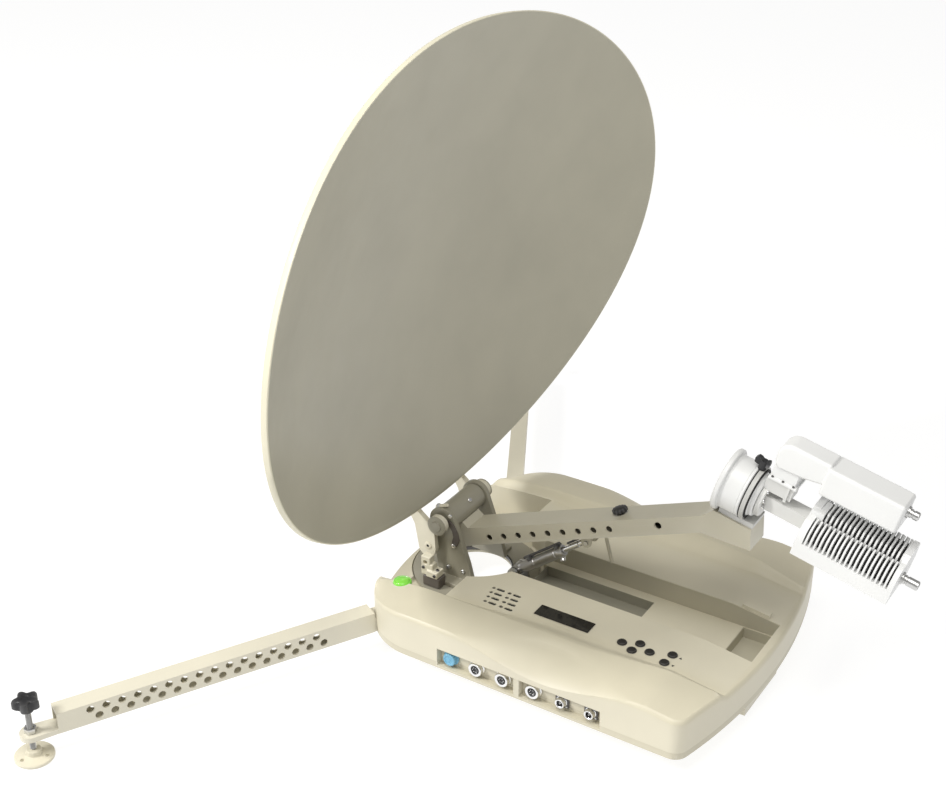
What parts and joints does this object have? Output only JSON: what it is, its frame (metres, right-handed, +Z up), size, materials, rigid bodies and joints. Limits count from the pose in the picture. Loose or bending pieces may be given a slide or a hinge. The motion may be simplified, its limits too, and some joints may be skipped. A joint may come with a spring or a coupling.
{
  "type": "portable satellite terminal",
  "caption": "Portable satellite terminal: oval offset dish on a tilting yoke, feed and radio boxes on a boom, low moulded housing with splayed rear legs.",
  "frame": {"origin": "middle of the front foot's rest face, on the ground", "axes": "+Z up, -Y the way the dish looks, -X the side with the connector panel"},
  "size_m": [1.2354, 0.9147, 0.8188],
  "materials": {
    "ivory_moulding": "satin moulded",
    "cream_paint": "satin",
    "olive_paint": "satin",
    "dish_grey": "satin",
    "white_paint": "satin",
    "silver_metal": "brushed",
    "chrome_metal": "polished",
    "black_plastic": "matte",
    "display_black": "gloss",
    "level_green": "gloss",
    "blue_cap": "satin"
  },
  "bodies": {
    "base": {"base_tray": "ivory_moulding", "top_cover": "ivory_moulding", "display_window": "display_black", "button_1": "black_plastic", "button_2": "black_plastic", "button_3": "black_plastic", "button_4": "black_plastic", "button_5": "black_plastic", "button_6": "black_plastic", "level_button": "level_green", "trough_latch": "cream_paint", "connector_1": "blue_cap", "connector_2": "chrome_metal", "connector_3": "chrome_metal", "connector_4": "chrome_metal", "connector_5": "chrome_metal", "connector_6": "chrome_metal", "front_foot": "cream_paint", "leg_near": "cream_paint", "leg_far": "cream_paint", "leg_nut_near": "silver_metal", "leg_nut_far": "silver_metal"},
    "foot_near": {"foot_disc_near": "cream_paint", "foot_screw_near": "silver_metal", "star_knob_near": "black_plastic"},
    "foot_far": {"foot_disc_far": "cream_paint", "foot_screw_far": "silver_metal", "star_knob_far": "black_plastic"},
    "turntable": {"turntable_ring": "olive_paint", "yoke_near": "olive_paint", "yoke_far": "olive_paint", "actuator_bracket": "silver_metal", "actuator_pin": "silver_metal"},
    "actuator_barrel": {"actuator_body": "silver_metal"},
    "actuator_plunger": {"actuator_rod": "black_plastic"},
    "antenna": {"cross_tube": "olive_paint", "tilt_shaft": "silver_metal", "boom": "olive_paint", "boom_lug_pin": "silver_metal", "boom_knob": "black_plastic", "strut_near": "cream_paint", "strut_far": "cream_paint", "reflector": "dish_grey", "reflector_crossbar": "cream_paint", "feed_saddle": "white_paint", "feed_clamp_knob": "black_plastic"},
    "feed": {"feed_horn": "white_paint", "wave_guide": "white_paint", "lnb_elbow": "white_paint", "lnb_box": "white_paint", "buc_body": "white_paint"}
  },
  "joints": [
    {"name": "foot_near_level", "type": "slide", "parent": "base", "child": "foot_near", "axis": [0, 0, 1], "range_m": [-0.02, 0.014]},
    {"name": "foot_far_level", "type": "slide", "parent": "base", "child": "foot_far", "axis": [0, 0, 1], "range_m": [-0.02, 0.014]},
    {"name": "azimuth", "type": "hinge", "parent": "base", "child": "turntable", "pos_m": [0, 0.42, 0.043], "axis": [0, 0, 1], "range_deg": [-12, 12]},
    {"name": "elevation", "type": "hinge", "parent": "turntable", "child": "antenna", "pos_m": [0, 0.447, 0.133], "axis": [-1, 0, 0], "range_deg": [-5, 20]},
    {"name": "actuator_swing", "type": "hinge", "parent": "turntable", "child": "actuator_barrel", "pos_m": [0, 0.352, 0.062], "axis": [-1, 0, 0], "range_deg": [-6, 22]},
    {"name": "actuator_extend", "type": "slide", "parent": "actuator_barrel", "child": "actuator_plunger", "axis": [0, -0.7836, 0.6212], "range_m": [-0.0105, 0.0405]},
    {"name": "polarisation", "type": "hinge", "parent": "antenna", "child": "feed", "pos_m": [0, 0.056, 0.305], "axis": [0, -0.9724, -0.2334], "range_deg": [-90, 90]}
  ],
  "couplings": [
    {"joint": "actuator_swing", "follows": "elevation", "ratio": 1.08},
    {"joint": "actuator_extend", "follows": "elevation", "m_per_rad": 0.1146}
  ]
}
